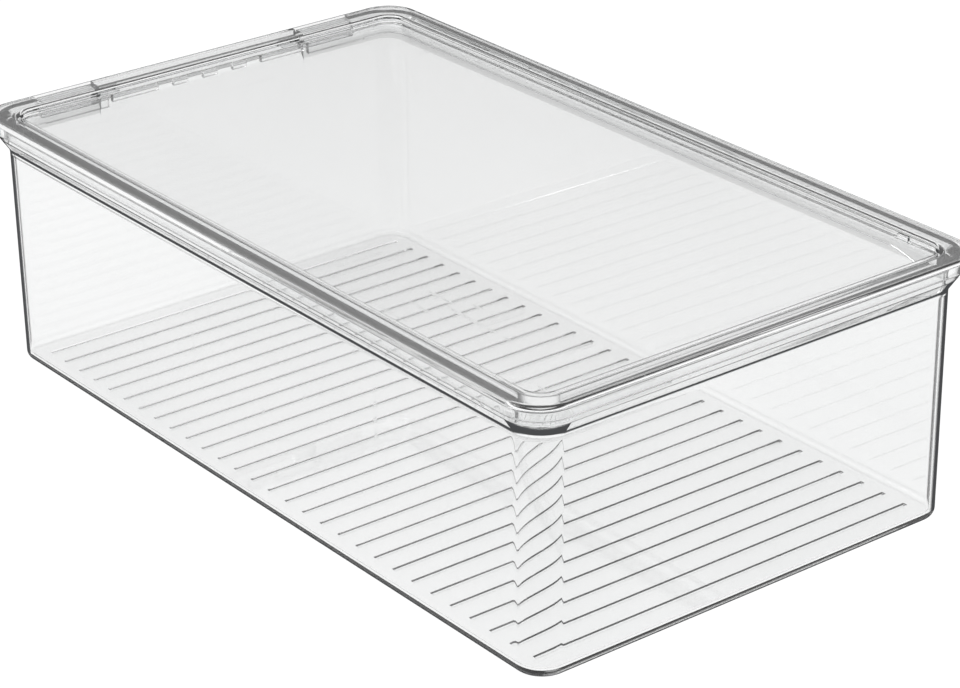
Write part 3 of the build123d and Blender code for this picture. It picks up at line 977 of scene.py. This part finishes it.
paper = bpy.data.materials.new("pale_floor")
paper.use_nodes = True
tree, surface = paper.node_tree, paper.node_tree.nodes["Principled BSDF"]
tooth = tinted(tree, noise(tree, (300.0, 300.0, 300.0), 3.0), DARK_PAPER, PALE_PAPER)
tree.links.new(tooth, surface.inputs["Base Color"])
for label, value in (
    ("Roughness", 0.9), ("Specular IOR Level", 0.1),
    ("Emission Color", (1, 1, 1, 1)), ("Emission Strength", 1.0),
):
    surface.inputs[label].default_value = value
floor = as_piece("floor", *swept_floor(FLOOR_REACH, FLOOR_GAP), paper)

# %% Light
# brightness of the room by height: table haze, darker walls, then a broad pale ceiling
ROOM = (
    (0.0, 0.85), (0.14, 0.80), (0.20, 0.36), (0.32, 0.42), (0.42, 0.70), (0.60, 1.10), (1.0, 1.40),
)
LAMP_AT, LAMP_AIM, LAMP_SIZE, LAMP_WATTS = (-0.9, 0.5, 1.3), (0, 0, 0.05), 0.9, 9.0

world = bpy.data.worlds.new("studio")
bpy.context.scene.world = world
world.use_nodes = True
tree = world.node_tree
sky = tree.nodes.new("ShaderNodeTexCoord").outputs["Generated"]
up = node(tree, "SeparateXYZ", Vector=sky).outputs["Z"]
ceiling = node(tree, "ValToRGB", **{"0": up})
while len(ceiling.color_ramp.elements) < len(ROOM):
    ceiling.color_ramp.elements.new(0.5)
for element, (height, value) in zip(ceiling.color_ramp.elements, ROOM):
    element.position, element.color = height, (value, value, value, 1)
tree.links.new(ceiling.outputs[0], tree.nodes["Background"].inputs["Color"])
bpy.context.scene.view_settings.view_transform = "Standard"

lamp = bpy.data.lights.new("key", "AREA")
lamp.shape, lamp.size, lamp.energy = "SQUARE", LAMP_SIZE, LAMP_WATTS
softbox = bpy.data.objects.new("key", lamp)
softbox.location = LAMP_AT
towards = Vector(LAMP_AIM) - Vector(LAMP_AT)
softbox.rotation_euler = towards.to_track_quat("-Z", "Y").to_euler()
bpy.context.scene.collection.objects.link(softbox)
print("room of", len(ROOM), "tones and one softbox of", LAMP_WATTS, "W")

# %% [markdown]
# ## Camera
#
# The box is seen from above its near long side, through a long lens, so that its edges stay
# almost parallel. The camera is placed by a point in the middle of the box, at a distance
# straight ahead, and then moved a little sideways and down in its own plane to frame it.

# %% Camera
AZIMUTH, ELEVATION, ROLL = radians(-37.72), radians(25.11), radians(0.72)
SENSOR, LENS = 36.0, 119.5125
AIM, DISTANCE = Vector((0, 0, 0.060)), 1.169
SIDEWAYS, LOWER = 9.35347 * MM, 22.63172 * MM

ahead = Vector((-sin(AZIMUTH) * cos(ELEVATION), cos(AZIMUTH) * cos(ELEVATION), -sin(ELEVATION)))
level = Vector((cos(AZIMUTH), sin(AZIMUTH), 0))
down = ahead.cross(level)
right = cos(ROLL) * level + sin(ROLL) * down
low = cos(ROLL) * down - sin(ROLL) * level
place = AIM - DISTANCE * ahead + SIDEWAYS * right + LOWER * low
lens = bpy.data.cameras.new("camera")
lens.sensor_width, lens.lens = SENSOR, LENS
lens.clip_start, lens.clip_end = 0.02, 50
camera = bpy.data.objects.new("camera", lens)
camera.matrix_world = Matrix((
    (right.x, -low.x, -ahead.x, place.x),
    (right.y, -low.y, -ahead.y, place.y),
    (right.z, -low.z, -ahead.z, place.z),
    (0, 0, 0, 1),
))
bpy.context.scene.collection.objects.link(camera)
bpy.context.scene.camera = camera
print("lens", LENS, "mm, camera", round(DISTANCE, 2), "m from the box")
